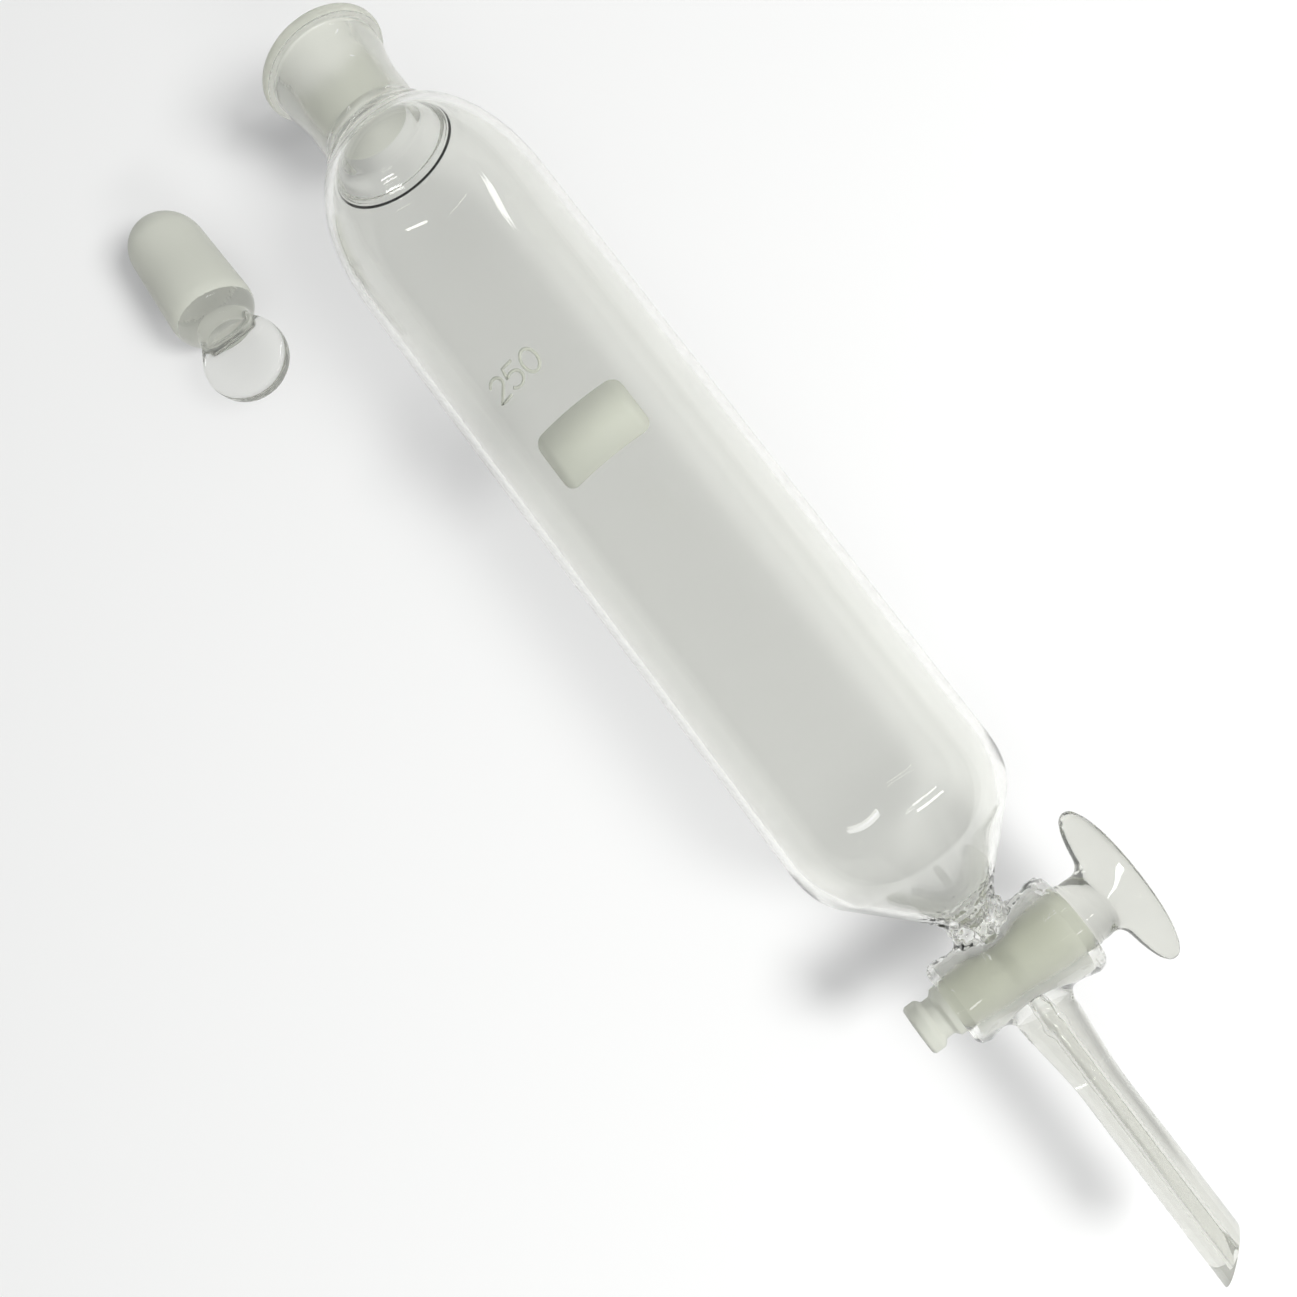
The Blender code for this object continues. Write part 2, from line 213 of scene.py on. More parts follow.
def body_wall(offset, dome_edge_r, seal):
    """The body's surface from the dome's edge to the cut, pushed in where the neck was sealed on."""
    radius = BODY_R - offset
    length = DOME_LENGTH - offset
    part = 2 / DOME_POWER
    edge, past_seal = [math.acos((r / radius) ** (1 / part)) for r in (dome_edge_r, SEAL_R + 0.002)]
    dome = []
    for t in np.append(np.linspace(edge, past_seal, 40)[:-1], np.linspace(past_seal, 0, 40)):
        r = radius * math.cos(t) ** part
        pushed = seal * math.exp(-((r - SEAL_R) / SEAL_HALF_WIDTH) ** 2)
        along = CYLINDER_TOP - length * math.sin(t) ** part
        dome.append((r + SEAL_LEAN[0] * pushed, along + SEAL_LEAN[1] * pushed))
    side = straight((radius, CYLINDER_TOP), (radius, SHOULDER_TOP), 24)
    back = offset * math.tan(math.pi / 8)
    corner = (radius, SHOULDER_CORNER - back)
    shoulder = bend((radius, SHOULDER_TOP - back), corner, (cone_r(SHOULDER_END, offset), SHOULDER_END), 20)
    cone = straight(shoulder[-1], (cone_r(CUT_ABOVE, offset), CUT_ABOVE), 8)
    return dome + side[1:-1] + shoulder + cone[1:]


def vessel_outline():
    """From the cut, up the outside, over the rim and down the inside to the cut again."""
    outside = body_wall(0.0, DOME_EDGE_R, GROOVE_DEPTH)[::-1]
    edge = outside[-1]
    collar = (COLLAR_R, edge[1] - 0.0014)
    flare = bend(edge, (edge[0] - 0.0005, edge[1] - 0.0006), collar, 5)
    below_collar = (COLLAR_R - 0.0002, collar[1] - 0.0008)
    flare += bend(collar, below_collar, (COLLAR_R - 0.0012, NECK_END + 0.0008), 5)[1:]
    flare += bend(flare[-1], (NECK_R, NECK_END + 0.0002), (NECK_R, NECK_END - 0.0016), 8)[1:]
    neck_bend = (NECK_R, MOUTH + 0.013)
    under_bead = (NECK_TOP_R, MOUTH + 2 * BEAD_HALF + 0.0012)
    neck = straight((NECK_R, NECK_END - 0.0016), neck_bend, 6)[1:-1]
    neck += bend(neck_bend, (NECK_R + 0.0001, MOUTH + 0.0105), (NECK_TOP_R, MOUTH + 0.0065), 8)
    bead = arc(BEAD_R - BEAD_HALF, MOUTH + BEAD_HALF, BEAD_HALF, BEAD_HALF, 60, -80, 14)
    under = bend(under_bead, (NECK_TOP_R, MOUTH + 2 * BEAD_HALF), bead[0], 6)
    rim = bend((BEAD_R - 2 * BEAD_HALF, MOUTH), (SOCKET_R + 0.0001, MOUTH), (SOCKET_R, MOUTH + 0.0003), 5)
    ground_end = (SOCKET_R - SLOPE * SOCKET_LENGTH, MOUTH + SOCKET_LENGTH)
    ground = straight(rim[-1], ground_end, 12)[1:]
    inside = body_wall(WALL, DOME_INNER_EDGE_R, RIDGE_HEIGHT)
    start = inside[0]
    step = straight(ground_end, (ground_end[0] + 0.0002, ground_end[1] + 0.0012), 2)
    throat = bend(step[-1], (ground_end[0] + 0.0008, NECK_END + 0.0020), start, 14)
    return outside + flare[1:] + neck + under + bead[1:] + rim + ground + step[1:] + throat[1:] + inside[1:]


def stem_outline():
    """From the cut below the stopcock down the outside, round the tip and back up the bore."""
    end = TIP_MIDDLE
    root = [(stem_root_r(a), a) for a in np.linspace(CUT_BELOW, STEM_FLARE_END, 12)]
    outside = straight((STEM_R, STEM_FLARE_END), (STEM_R, end - LIP), 24)[1:]
    lip = bend((STEM_R, end - LIP), (STEM_R, end), (STEM_R - LIP, end), 4)[1:]
    mouth = bend((STEM_BORE_R + LIP, end), (STEM_BORE_R, end), (STEM_BORE_R, end - LIP), 4)
    bore = straight((STEM_BORE_R, end - LIP), (STEM_BORE_R, CUT_BELOW), 24)[1:]
    return root + outside + lip + mouth + bore


def stem_root_r(along):
    """Radius of the stem's outside, flared towards the barrel."""
    part = np.clip((along - STEM_FLARE_START) / (STEM_FLARE_END - STEM_FLARE_START), 0, 1)
    soft = part * part * (3 - 2 * part)
    return STEM_ROOT_R + (STEM_R - STEM_ROOT_R) * soft


def turn(outline):
    """Rings of an outline about the X axis, as vertices and quads, with the normals outwards."""
    outline = np.array(outline)
    angle = np.arange(SEGMENTS) * 2 * math.pi / SEGMENTS
    radius = outline[:, 0][:, None]
    along = np.repeat(outline[:, 1][:, None], SEGMENTS, 1)
    verts = np.stack([along, radius * np.cos(angle), radius * np.sin(angle)], -1).reshape(-1, 3)
    ring = np.arange(len(outline) - 1)[:, None] * SEGMENTS
    here = np.arange(SEGMENTS)[None, :]
    after = (here + 1) % SEGMENTS
    quads = np.stack([ring + here, ring + after, ring + SEGMENTS + after, ring + SEGMENTS + here], -1)
    return verts, quads.reshape(-1, 4)


# ---- distance fields ---------------------------------------------------------------------------------
def turned_distance(radius, along, outline):
    """Signed distance to a turned solid. The outline is closed beyond the axis, at a negative radius."""
    nearest = np.full(radius.shape, np.inf)
    inside = np.zeros(radius.shape, bool)
    for (r0, a0), (r1, a1) in zip(outline, outline[1:] + outline[:1]):
        dr, da = r1 - r0, a1 - a0
        part = np.clip(((radius - r0) * dr + (along - a0) * da) / (dr * dr + da * da), 0, 1)
        nearest = np.minimum(nearest, (radius - r0 - part * dr) ** 2 + (along - a0 - part * da) ** 2)
        if a0 != a1:
            inside ^= ((a0 > along) != (a1 > along)) & (radius < r0 + (along - a0) * dr / da)
    return np.sqrt(nearest) * np.where(inside, -1, 1)


def melt(first, second, reach):
    """Union of two distance fields with a soft fillet."""
    part = np.clip(0.5 + 0.5 * (second - first) / reach, 0, 1)
    return second * (1 - part) + first * part - reach * part * (1 - part)


def carve(solid, void, reach):
    """Solid with a void taken out and its edges slightly rounded."""
    return -melt(-solid, void, reach)


def grid(lows, highs):
    """Points of the field's grid over a box."""
    axes = [np.arange(lo, hi + CELL, CELL) for lo, hi in zip(lows, highs)]
    return np.stack(np.meshgrid(*axes, indexing="ij"), -1)


def surface_net(field, lows, highs):
    """Quads on the zero surface of a field, with one vertex in each grid cell that it crosses."""
    points = grid(lows, highs)
    values = field(points.reshape(-1, 3)).reshape(points.shape[:3])
    cells = tuple(n - 1 for n in values.shape)
    total = np.zeros(cells + (3,))
    count = np.zeros(cells)
    corners = [(i, j, k) for i in (0, 1) for j in (0, 1) for k in (0, 1)]
    for one in corners:
        for other in corners:
            if sum(other) - sum(one) != 1 or sum(a != b for a, b in zip(one, other)) != 1:
                continue
            v0 = values[tuple(slice(c, c + n) for c, n in zip(one, cells))]
            v1 = values[tuple(slice(c, c + n) for c, n in zip(other, cells))]
            crossed = (v0 < 0) != (v1 < 0)
            part = np.where(crossed, v0 / np.where(crossed, v0 - v1, 1), 0)
            step = np.array(other) - np.array(one)
            spot = np.array(one) + part[..., None] * step
            total += np.where(crossed[..., None], spot, 0)
            count += crossed
    used = count > 0
    index = np.full(cells, -1)
    index[used] = np.arange(used.sum())
    verts = (np.argwhere(used) + total[used] / count[used][:, None]) * CELL + np.array(lows)
    inside = values < 0
    quads = []
    for axis in range(3):
        u, v = (axis + 1) % 3, (axis + 2) % 3
        low, high = [slice(1, n) for n in cells], [slice(1, n) for n in cells]
        low[axis], high[axis] = slice(0, cells[axis]), slice(1, cells[axis] + 1)
        first, second = inside[tuple(low)], inside[tuple(high)]
        around = []
        for du, dv in ((0, 0), (-1, 0), (-1, -1), (0, -1)):
            place = [None, None, None]
            place[axis] = slice(0, cells[axis])
            place[u] = slice(1 + du, cells[u] + du)
            place[v] = slice(1 + dv, cells[v] + dv)
            around.append(index[tuple(place)])
        faces = np.stack(around, -1)
        quads.append(faces[first & ~second])
        quads.append(faces[~first & second][:, ::-1])
    quads = np.concatenate(quads)
    return settle(field, verts), quads[(quads >= 0).all(1)]


def settle(field, verts):
    """Move vertices onto the zero surface along the field's slope."""
    reach = CELL / 10
    for _ in range(3):
        value = field(verts)
        slope = np.stack([
            (field(verts + reach * np.eye(3)[i]) - field(verts - reach * np.eye(3)[i])) / (2 * reach)
            for i in range(3)
        ], -1)
        steep = np.maximum((slope ** 2).sum(1), 0.2)
        move = np.clip(value / steep, -CELL, CELL)
        verts = verts - move[:, None] * slope
    return verts


def across(points):
    """Distance of points from the barrel's axis, which runs along Y."""
    return np.hypot(points[:, 0], points[:, 2])


def bore_distance(points):
    """Distance from the barrel's ground bore, a taper that widens towards the handle."""
    return (across(points) - BORE_R - SLOPE * points[:, 1]) * math.cos(math.atan(SLOPE))


def flange(end, inwards, flange_r, waist_r):
    """Outline of a thickened end of the barrel, from its flat face to the plain stretch."""
    shape = [(-0.0014, 0.0), (-0.0004, 0.0009), (0.0, 0.0026), (-0.0003, 0.0041)]
    points = [(flange_r + dr, end + inwards * da) for dr, da in shape]
    return points + [(waist_r, end + inwards * FLANGE_WIDTH)]


def lumps(points, size, height):
    """Smooth uneven swellings, as sealing glass by hand leaves them."""
    x, y, z = (points * 2 * math.pi / size).T
    first = np.sin(x + 1.3 * np.sin(0.9 * y + 0.5)) * np.sin(1.1 * y + 1.2 * np.sin(0.8 * z + 1.7))
    second = np.sin(0.8 * z + 1.1 * np.sin(1.2 * x + 2.9)) * np.sin(0.9 * x + 0.7 * y + 0.4)
    return height * (first + second)


def near(along, centre, half):
    """One at the centre, fading to nothing within about twice the half-width."""
    return np.exp(-((along - centre) / half) ** 2)


def stopcock_field(points):
    """The sealed stretch of the vessel: cone end, inlet tube, barrel and stem root."""
    radius = np.hypot(points[:, 1], points[:, 2])
    along = points[:, 0]
    cone_top = CUT_ABOVE - 0.005
    inlet = [
        (FAR, cone_top), (cone_r(cone_top, 0), cone_top), (CONE_END_R + 0.0006, CONE_END - 0.0006),
        (CONE_END_R - 0.0002, CONE_END + 0.0005), (INLET_R, CONE_END + 0.0019), (INLET_R, 0.0), (FAR, 0.0),
    ]
    root = [(stem_root_r(a), a) for a in np.linspace(0.004, STEM_FLARE_END, 14)]
    stem = [(FAR, 0.0), (STEM_ROOT_R, 0.0)] + root + [(FAR, STEM_FLARE_END)]
    large = flange(BARREL_LARGE_END - SKIN, -1, LARGE_FLANGE_R - SKIN, LARGE_WAIST_R)
    small = flange(BARREL_SMALL_END + SKIN, 1, SMALL_FLANGE_R, SMALL_WAIST_R)
    barrel = [(FAR, BARREL_LARGE_END - SKIN)] + large + small[::-1] + [(FAR, BARREL_SMALL_END + SKIN)]
    way = [
        (FAR, cone_top), (cone_r(cone_top, WALL), cone_top), (CONE_BORE_R, CONE_END - 0.0001),
        (CONE_BORE_R - 0.0004, CONE_END + 0.0010), (FLOW_R, CONE_END + 0.0042), (FLOW_R, 0.010),
        (STEM_BORE_R, 0.019), (STEM_BORE_R, 0.03), (FAR, 0.03),
    ]
    sleeve = turned_distance(across(points), points[:, 1], barrel)
    solid = melt(turned_distance(radius, along, inlet), sleeve, SEALED_MELT)
    solid = melt(solid, turned_distance(radius, along, stem), SEALED_MELT)
    solid = solid - near(along, INLET_LUMPS_AT, 0.0032) * lumps(points, 0.0034, 0.00028)
    solid = solid - near(along, ROOT_LUMPS_AT, 0.0025) * lumps(points, 0.0065, 0.00012)
    passage = turned_distance(radius, along, way)
    passage = passage - near(along, INLET_LUMPS_AT, 0.0028) * lumps(points + 0.002, 0.0030, 0.00016)
    solid = carve(solid, passage, 0.0005)
    return carve(solid, bore_distance(points), 0.0004)


def wing_distance(points):
    """A flattened, slightly squared ellipsoid on the end of the plug's stalk."""
    half = np.array([WING_HALF_LENGTH - SKIN, WING_HALF_HEIGHT, WING_HALF_THICKNESS])
    centre = np.array([0, WING_TOP - SKIN - WING_HALF_HEIGHT, 0])
    q = np.abs(points - centre) / half
    size = np.maximum((q ** WING_POWER).sum(1) ** (1 / WING_POWER), 1e-6)
    slope = size[:, None] ** (1 - WING_POWER) * q ** (WING_POWER - 1) / half
    return (size - 1) / np.maximum(np.sqrt((slope ** 2).sum(1)), 1e-6)


def plug_field(points):
    """Ground plug, grooved small end with its button, stalk and T handle."""
    along = points[:, 1]
    small_end = PLUG_SMALL_END + SKIN

    def ground(at):
        return (BORE_R + SLOPE * at - CLEARANCE, at)

    outline = [
        (FAR, small_end), (BUTTON_R - 0.0005, small_end), (BUTTON_R, small_end + 0.0006),
        (BUTTON_R, small_end + 0.0028), (BUTTON_R - 0.0004, small_end + 0.0034),
        (GROOVE_R, small_end + 0.0040), (GROOVE_R, small_end + 0.0059),
        ground(small_end + 0.0069), ground(PLUG_GROUND_END - 0.0003), (STALK_R, PLUG_GROUND_END + 0.0004),
        (STALK_R, WING_TOP - 0.0100), (0.0052, WING_TOP - 0.0065), (FAR, WING_TOP - 0.0060),
    ]
    rod = turned_distance(across(points), along, outline)
    # The stalk is flattened to the wing's thickness where they meet, and gets round away from it.
    short = np.maximum(WING_TOP - WING_HALF_HEIGHT - along, 0)
    flattened = WING_HALF_THICKNESS - 0.0002 + 75 * short ** 2
    rod = carve(rod, (flattened - np.hypot(points[:, 2], 0.55 * points[:, 0])) * 0.74, 0.003)
    solid = melt(rod, wing_distance(points), HANDLE_MELT)
    drill = np.hypot(along, points[:, 2]) - FLOW_R + 0.0001
    return carve(solid, drill, 0.0003)


def stopper_field(points):
    """Ground taper with a domed tip, clear shoulder and neck, and the flat round head."""
    radius = np.hypot(points[:, 1], points[:, 2])
    along = points[:, 0]
    tip_r = STOPPER_R - SLOPE * STOPPER_GROUND
    dome = [(r, -a) for r, a in arc(0, STOPPER_GROUND, tip_r, -STOPPER_TIP - STOPPER_GROUND, 90, 0, 14)]
    shoulder = bend((STOPPER_R, 0.0), (STOPPER_R, 0.0040), (STOPPER_NECK_R + 0.0008, 0.0056), 10)
    neck = [(STOPPER_NECK_R + 0.0002, 0.0064), (STOPPER_NECK_R - 0.0005, 0.0085)]
    body = [(FAR, STOPPER_TIP)] + dome + shoulder + neck + [(FAR, 0.0095)]
    past_rim = np.hypot(along - HEAD_CENTRE, points[:, 1]) - (HEAD_R - SKIN - HEAD_EDGE)
    past_face = np.abs(points[:, 2]) - (HEAD_THICKNESS / 2 - SKIN - HEAD_EDGE)
    outside = np.hypot(np.maximum(past_rim, 0), np.maximum(past_face, 0))
    head = outside + np.minimum(np.maximum(past_rim, past_face), 0) - HEAD_EDGE
    return melt(turned_distance(radius, along, body), head, HEAD_MELT)


# ---- meshes ------------------------------------------------------------------------------------------
def closed_net(field, lows, highs):
    """A surface net of a field as a mesh."""
    verts, quads = surface_net(field, lows, highs)
    shape = bmesh.new()
    made = [shape.verts.new(v) for v in verts]
    for quad in quads:
        shape.faces.new([made[i] for i in quad])
    return shape


def open_net(field, lows, highs, low_cut, high_cut):
    """A surface net of a field, cut square across X at both ends."""
    shape = closed_net(field, lows, highs)
    for at, facing in ((low_cut, -1), (high_cut, 1)):
        everything = shape.verts[:] + shape.edges[:] + shape.faces[:]
        bmesh.ops.bisect_plane(
            shape, geom=everything, plane_co=(at, 0, 0), plane_no=(facing, 0, 0), clear_outer=True
        )
    return shape


def add_turned(shape, outline):
    """Add a turned surface and return its first and last rings."""
    verts, quads = turn(outline)
    made = [shape.verts.new(v) for v in verts]
    for quad in quads:
        shape.faces.new([made[i] for i in quad])
    return made[:SEGMENTS], made[-SEGMENTS:]


def around_axis(vert):
    """Angle of a vertex round the X axis."""
    return math.atan2(vert.co.z, vert.co.y)


def stitch(shape, ring, loop):
    """Close the gap between two rings round the X axis, whatever their counts."""
    first, second = sorted(ring, key=around_axis), sorted(loop, key=around_axis)
    i = j = 0
    while i < len(first) or j < len(second):
        a, b = first[i % len(first)], second[j % len(second)]
        turn_a = around_axis(first[i + 1]) if i + 1 < len(first) else around_axis(first[0]) + 2 * math.pi
        turn_b = around_axis(second[j + 1]) if j + 1 < len(second) else around_axis(second[0]) + 2 * math.pi
        if j >= len(second) or (i < len(first) and turn_a <= turn_b):
            shape.faces.new((a, first[(i + 1) % len(first)], b))
            i += 1
        else:
            shape.faces.new((a, second[(j + 1) % len(second)], b))
            j += 1


def loops_at(shape, along):
    """Boundary vertices at a cut, split into the outer and the inner ring."""
    found = [v for v in shape.verts if v.is_boundary and abs(v.co.x - along) < CELL / 100]
    radii = [math.hypot(v.co.y, v.co.z) for v in found]
    middle = (max(radii) + min(radii)) / 2
    outer = [v for v, r in zip(found, radii) if r > middle]
    inner = [v for v, r in zip(found, radii) if r <= middle]
    return outer, inner


def true_ring(loop, radius):
    """Move a ring's vertices out or in to one radius."""
    for vert in loop:
        scale = radius / math.hypot(vert.co.y, vert.co.z)
        vert.co.y *= scale
        vert.co.z *= scale


def to_object(shape, name, materials, slots_of, place):
    """Finish a mesh: smooth, with a material for each face, moved to its place in the frame."""
    bmesh.ops.recalc_face_normals(shape, faces=shape.faces)
    mesh = bpy.data.meshes.new(name)
    shape.to_mesh(mesh)
    shape.free()
    centres = np.zeros(len(mesh.polygons) * 3)
    mesh.polygons.foreach_get("center", centres)
    mesh.polygons.foreach_set("material_index", slots_of(centres.reshape(-1, 3)).astype(np.int32))
    mesh.transform(place)
    mesh.shade_smooth()
    mesh.update()
    obj = bpy.data.objects.new(name, mesh)
    for material in materials:
        obj.data.materials.append(material)
    bpy.context.scene.collection.objects.link(obj)
    return obj


def make_vessel(materials):
    """Body, neck and stem turned, the sealed stretch as a net, and all of it one closed mesh."""
    shape = open_net(
        stopcock_field, (CUT_ABOVE - 0.001, -0.0165, -0.0125), (CUT_BELOW + 0.001, 0.0175, 0.0125),
        CUT_ABOVE, CUT_BELOW,
    )
    above_outer, above_inner = loops_at(shape, CUT_ABOVE)
    below_outer, below_inner = loops_at(shape, CUT_BELOW)
    true_ring(above_outer, cone_r(CUT_ABOVE, 0))
    true_ring(above_inner, cone_r(CUT_ABOVE, WALL))
    true_ring(below_outer, stem_root_r(CUT_BELOW))
    true_ring(below_inner, STEM_BORE_R)
    # The turned parts stop one cell short of the cuts, and the stitches fill the gap.
    body = [(r, a - (CELL if a == CUT_ABOVE else 0)) for r, a in vessel_outline()]
    body[0] = (cone_r(body[0][1], 0), body[0][1])
    body[-1] = (cone_r(body[-1][1], WALL), body[-1][1])
    stem = [(r, a + (CELL if a == CUT_BELOW else 0)) for r, a in stem_outline()]
    outside, inside = add_turned(shape, body)
    stitch(shape, outside, above_outer)
    stitch(shape, inside, above_inner)
    outside, inside = add_turned(shape, stem)
    stitch(shape, outside, below_outer)
    stitch(shape, inside, below_inner)
    slant_tip(shape)

    def slots_of(centres):
        along, side, up = centres.T
        radius = np.hypot(side, up)
        socket = (along < MOUTH + GROUND_LENGTH) & (radius < SOCKET_R + FACE_SLACK)
        bead = along < MOUTH + BEAD_FROSTED
        tip = along + SLANT[0] * side + SLANT[1] * up > TIP_MIDDLE - FACE_SLACK
        bore = np.abs(bore_distance(centres)) < BORE_SLACK
        bore &= (side > BARREL_SMALL_END + JOINT_MARGIN) & (side < BARREL_LARGE_END - JOINT_MARGIN)
        stem = (along > THICK_FROM) & (radius > FLOW_R + 0.001)
        return np.select([bore, socket | bead | tip, stem], [2, 1, 3], 0)

    return to_object(shape, "vessel_glass", materials, slots_of, Matrix.Translation(STOPCOCK))


def slant_tip(shape):
    """Shear the stem's end so that its rim slants, longest away from the handle and underneath."""
    start = TIP_MIDDLE - SLANT_LENGTH
    for vert in shape.verts:
        part = min(max((vert.co.x - start) / (TIP_MIDDLE - start), 0.0), 1.0)
        soft = part * part * (3 - 2 * part)
        vert.co.x -= soft * (SLANT[0] * vert.co.y + SLANT[1] * vert.co.z)


def make_plug(materials):
    lows, highs = (-0.0185, PLUG_SMALL_END - 0.001, -0.0078), (0.0185, WING_TOP + 0.001, 0.0078)
    shape = closed_net(plug_field, lows, highs)

    def slots_of(centres):
        along = centres[:, 1]
        return np.select([along < BARREL_SMALL_END, along < PLUG_FROSTED_END], [2, 1], 0)

    return to_object(shape, "stopcock_plug_glass", materials, slots_of, Matrix.Translation(STOPCOCK))


def make_stopper(materials):
    lows, highs = (STOPPER_TIP - 0.001, -0.0115, -0.0115), (HEAD_CENTRE + 0.0115, 0.0115, 0.0115)
    shape = closed_net(stopper_field, lows, highs)

    def slots_of(centres):
        return centres[:, 0] < STOPPER_FROSTED_END

    return to_object(shape, "stopper_glass", materials, slots_of, STOPPER_PLACE)


def on_body(along, over):
    """Lower and upper points of the print: distance along the funnel, and arc length over its top."""
    turn_by = over / BODY_R
    return [(along, r * math.sin(turn_by), r * math.cos(turn_by)) for r in PRINT_R]


def add_strip(shape, left, right):
    """A thin closed strip over the body between two lines of (along, over) points."""
    rows = []
    for one, other in zip(left, right):
        low_a, high_a = on_body(*one)
        low_b, high_b = on_body(*other)
        rows.append([shape.verts.new(v) for v in (low_a, high_a, high_b, low_b)])
    for before, after in zip(rows, rows[1:]):
        for i in range(4):
            shape.faces.new((before[i], before[(i + 1) % 4], after[(i + 1) % 4], after[i]))
    if left[0] != left[-1]:
        shape.faces.new(rows[0])
        shape.faces.new(rows[-1][::-1])
    else:
        bmesh.ops.remove_doubles(shape, verts=rows[0] + rows[-1], dist=1e-7)


def patch_sides():
    """The two long sides of a rounded rectangle, as (along, over) points."""
    left, right = [], []
    for i in range(61):
        over = PATCH_HALF[1] * -math.cos(math.pi * i / 60)
        past = max(abs(over) - (PATCH_HALF[1] - PATCH_CORNER), 0)
        half = PATCH_HALF[0] - PATCH_CORNER + math.sqrt(PATCH_CORNER ** 2 - min(past, PATCH_CORNER) ** 2)
        left.append((PATCH_AT[0] - half, PATCH_AT[1] + over))
        right.append((PATCH_AT[0] + half, PATCH_AT[1] + over))
    return left, right


def stroke_sides(path):
    """Both sides of a pen stroke along a path of (right, up) points."""
    path = np.array(path)
    step = np.gradient(path, axis=0)
    if np.allclose(path[0], path[-1]):
        step[0] = step[-1] = path[1] - path[-2]
    step /= np.hypot(step[:, 0], step[:, 1])[:, None]
    beside = np.stack([-step[:, 1], step[:, 0]], -1) * STROKE
    return [[(-up, right) for right, up in side] for side in (path + beside, path - beside)]


def curve(centre, radii, start, end, count=20):
    """(right, up) points of an ellipse, counted anticlockwise from the right."""
    angles = [math.radians(start + (end - start) * i / count) for i in range(count + 1)]
    return [(centre[0] + radii[0] * math.cos(t), centre[1] + radii[1] * math.sin(t)) for t in angles]


def numeral_paths():
    """Strokes of the figures 2, 5 and 0 in a box one wide and one high."""
    two = curve((0.5, 0.70), (0.5, 0.30), 165, -30) + [(0.5, 0.28), (0.02, 0.0), (0.35, 0.0), (1.0, 0.0)]
    five = [(0.92, 1.0), (0.5, 1.0), (0.14, 1.0), (0.10, 0.8), (0.06, 0.56)]
    five += curve((0.46, 0.33), (0.52, 0.33), 130, -150)
    nought = curve((0.5, 0.5), (0.5, 0.5), 90, 450, 32)
    return [two, five, nought]


def make_marks(material):
    """A plain patch and the figure 250, as thin closed strips on the body."""
    shape = bmesh.new()
    add_strip(shape, *patch_sides())
    for place, path in enumerate(numeral_paths()):
        left = NUMERALS_AT[1] + place * NUMERAL_STEP
        path = [(left + x * NUMERAL_WIDTH, -NUMERALS_AT[0] + y * NUMERAL_HEIGHT) for x, y in path]
        add_strip(shape, *stroke_sides(path))

    def slots_of(centres):
        return np.zeros(len(centres))

    return to_object(shape, "body_print", [material], slots_of, Matrix.Translation(STOPCOCK))


# ---- materials ---------------------------------------------------------------------------------------
# Finishes of the glass, as (roughness, waves per metre, height of the waves).
BLOWN = (0.0, 60, 0.000002)
DRAWN = (0.0, 60, 0.0)
FROSTED = (0.5, 2500, 0.00002)


def glass(name, colour, finish, passed, transmission=1.0):
    """Glass with a finish. Each surface lets a share of the lamps' light pass to the bench."""
    roughness, waves, height = finish
    material = bpy.data.materials.new(name)
    material.use_nodes = True
    nodes, links = material.node_tree.nodes, material.node_tree.links
    shader = nodes["Principled BSDF"]
    shader.inputs["Base Color"].default_value = (*colour, 1)
    shader.inputs["Roughness"].default_value = roughness
    shader.inputs["IOR"].default_value = 1.47
    shader.inputs["Transmission Weight"].default_value = transmission
    place = nodes.new("ShaderNodeTexCoord")
    noise = nodes.new("ShaderNodeTexNoise")
    noise.inputs["Scale"].default_value = waves
    noise.inputs["Detail"].default_value = 2
    bump = nodes.new("ShaderNodeBump")
    bump.inputs["Strength"].default_value = 1.0
    bump.inputs["Distance"].default_value = height
    links.new(place.outputs["Object"], noise.inputs["Vector"])
    links.new(noise.outputs["Fac"], bump.inputs["Height"])
    links.new(bump.outputs["Normal"], shader.inputs["Normal"])
    rays = nodes.new("ShaderNodeLightPath")
    clear = nodes.new("ShaderNodeBsdfTransparent")
    clear.inputs["Color"].default_value = (passed, passed, passed, 1)
    surface = shader.outputs["BSDF"]
    for kind in ("Is Shadow Ray", "Is Diffuse Ray"):
        mix = nodes.new("ShaderNodeMixShader")
        links.new(rays.outputs[kind], mix.inputs["Fac"])
        links.new(surface, mix.inputs[1])
        links.new(clear.outputs["BSDF"], mix.inputs[2])
        surface = mix.outputs["Shader"]
    links.new(surface, nodes["Material Output"].inputs["Surface"])
    return material


def make_print():
    """Pale matt enamel that the bench shows through."""
    material = bpy.data.materials.new("matt_print")
    material.use_nodes = True
    shader = material.node_tree.nodes["Principled BSDF"]
    shader.inputs["Base Color"].default_value = (0.61, 0.63, 0.53, 1)
    shader.inputs["Roughness"].default_value = 0.7
    shader.inputs["Alpha"].default_value = 0.5
    return material


def make_floor():
    """A plain pale bench, which isn't part of the object."""
    bpy.ops.mesh.primitive_plane_add(size=6, location=(0, 0, 0))
    floor = bpy.context.object
    floor.name = "bench"
    material = bpy.data.materials.new("pale_bench")
    material.use_nodes = True
    shader = material.node_tree.nodes["Principled BSDF"]
    shader.inputs["Base Color"].default_value = (0.86, 0.86, 0.85, 1)
    shader.inputs["Roughness"].default_value = 0.55
    floor.data.materials.append(material)


# ---- light and camera --------------------------------------------------------------------------------
CENTRE = Vector((0, 0, 0))
LOW_LAMP = (1.6, 0.0, 1.1)


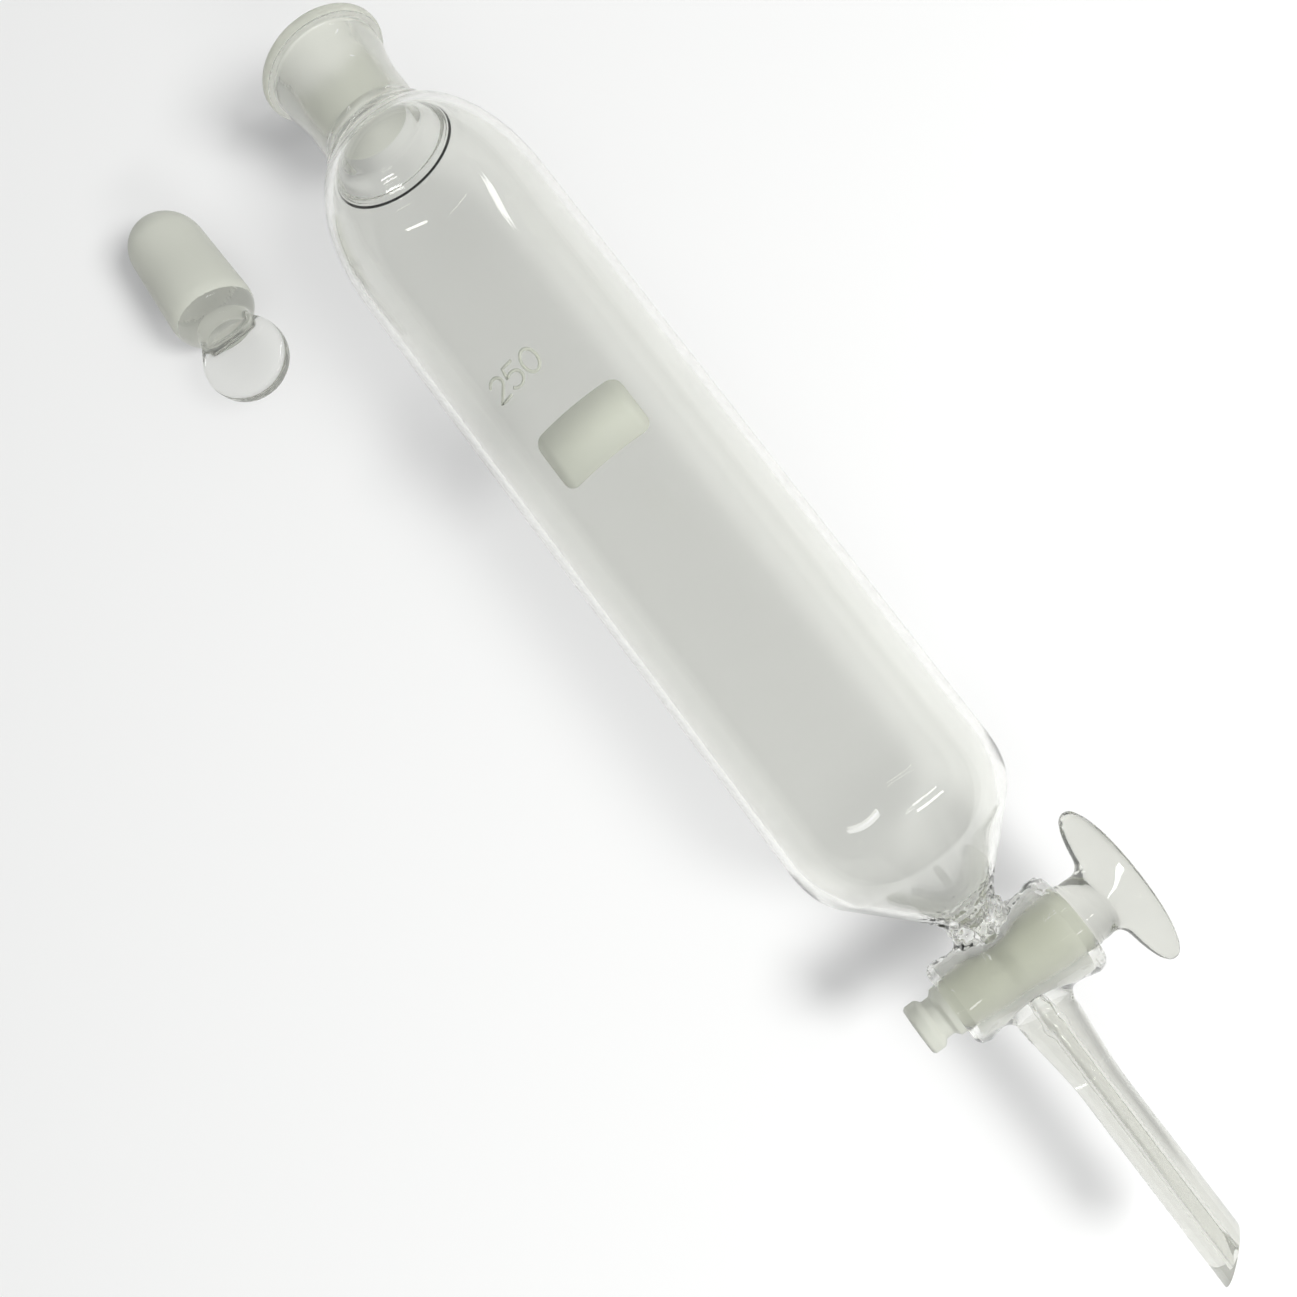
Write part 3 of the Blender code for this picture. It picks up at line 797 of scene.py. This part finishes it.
def area_light(name, place, size, power, mirrored=True):
    """A rectangular lamp that faces the object. An unmirrored one is never seen in the glass."""
    light = bpy.data.lights.new(name, "AREA")
    light.shape = "RECTANGLE"
    light.size, light.size_y = size
    light.energy = power
    lamp = bpy.data.objects.new(name, light)
    lamp.visible_glossy = mirrored
    lamp.visible_transmission = mirrored
    lamp.location = place
    lamp.rotation_mode = "QUATERNION"
    lamp.rotation_quaternion = (CENTRE - Vector(place)).to_track_quat("-Z", "Y")
    bpy.context.scene.collection.objects.link(lamp)
    return lamp


def tube_light(name, place, length, turn_deg, power, width=0.045):
    """A ceiling tube that faces down and runs along Y, turned by an angle. The glass shows it as a bar."""
    tube = area_light(name, place, (width, length), power)
    tube.rotation_quaternion = Quaternion((0, 0, 1), math.radians(turn_deg))


def make_world():
    """A grey room that gets a little paler overhead."""
    world = bpy.data.worlds.new("studio")
    bpy.context.scene.world = world
    world.use_nodes = True
    nodes, links = world.node_tree.nodes, world.node_tree.links
    background = nodes["Background"]
    place = nodes.new("ShaderNodeTexCoord")
    split = nodes.new("ShaderNodeSeparateXYZ")
    ramp = nodes.new("ShaderNodeValToRGB")
    ramp.color_ramp.elements[0].position = 0.0
    ramp.color_ramp.elements[0].color = (0.20, 0.20, 0.20, 1)
    ramp.color_ramp.elements[1].position = 0.55
    ramp.color_ramp.elements[1].color = (0.32, 0.325, 0.33, 1)
    links.new(place.outputs["Generated"], split.inputs["Vector"])
    links.new(split.outputs["Z"], ramp.inputs["Fac"])
    links.new(ramp.outputs["Color"], background.inputs["Color"])
    background.inputs["Strength"].default_value = 1.0


def make_camera():
    """The photo's viewpoint, worked out from the outlines of the rim, body, cone and stem."""
    camera = bpy.data.cameras.new("camera")
    camera.sensor_width = 36
    camera.lens = 30.73
    camera.clip_start, camera.clip_end = 0.01, 20
    obj = bpy.data.objects.new("camera", camera)
    obj.location = (0.01982, 0.00373, 0.25892)
    obj.rotation_euler = [math.radians(v) for v in (3.962, 5.034, 53.293)]
    bpy.context.scene.collection.objects.link(obj)
    bpy.context.scene.camera = obj


# ---- the scene ---------------------------------------------------------------------------------------
make_camera()
make_world()
make_floor()
area_light("softbox", (0.685, 0.67, 1.15), (0.5, 0.5), 20, mirrored=False)
area_light("low_strip", LOW_LAMP, (1.0, 0.25), 5, mirrored=False)
area_light("low_bar", LOW_LAMP, (1.0, 0.10), 1.6)
tube_light("tube_mouth_far", (-1.85, -0.665, 1.58), 0.64, -31, 1.3)
tube_light("tube_mouth", (-1.526, -0.68, 1.58), 0.68, -28, 1.3)
tube_light("tube_window", (-1.51, 2.17, 1.58), 0.80, 32, 1.2, width=0.06)
tube_light("tube_shoulder", (0.532, 0.98, 1.58), 1.17, -7, 3.4, width=0.07)
tube_light("tube_far", (0.315, -1.06, 1.58), 1.35, 4, 0.36, width=0.012)

clear = glass("clear_glass", (0.945, 0.95, 0.925), BLOWN, passed=0.92)
thick = glass("thick_glass", (0.76, 0.765, 0.72), DRAWN, passed=0.66)
ground = glass("ground_glass", (0.84, 0.855, 0.76), FROSTED, passed=0.45, transmission=0.75)
ground_solid = glass("ground_solid", (0.77, 0.785, 0.70), FROSTED, passed=0.45, transmission=0.5)
joint = glass("ground_joint", (0.85, 0.865, 0.765), FROSTED, passed=0.72, transmission=0.8)

vessel = make_vessel([clear, ground, joint, thick])
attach(vessel, "vessel")
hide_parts("body_shell", "mouth_socket", "inlet_tube", "stopcock_barrel", "delivery_stem")

marks = make_marks(make_print())
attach(marks, "vessel")

plug = make_plug([thick, joint, ground_solid])
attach(plug, "plug")
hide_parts("stopcock_plug", "plug_handle")

stopper = make_stopper([clear, ground_solid])
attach(stopper, "stopper")
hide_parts("stopper_taper", "stopper_head")

# Many surfaces of glass lie behind each other, so the light needs many bounces.
cycles = bpy.context.scene.cycles
cycles.max_bounces = 32
cycles.transmission_bounces = 32
cycles.glossy_bounces = 8
cycles.diffuse_bounces = 4
cycles.transparent_max_bounces = 32
cycles.caustics_refractive = False
cycles.caustics_reflective = False
bpy.context.scene.view_settings.view_transform = "Standard"
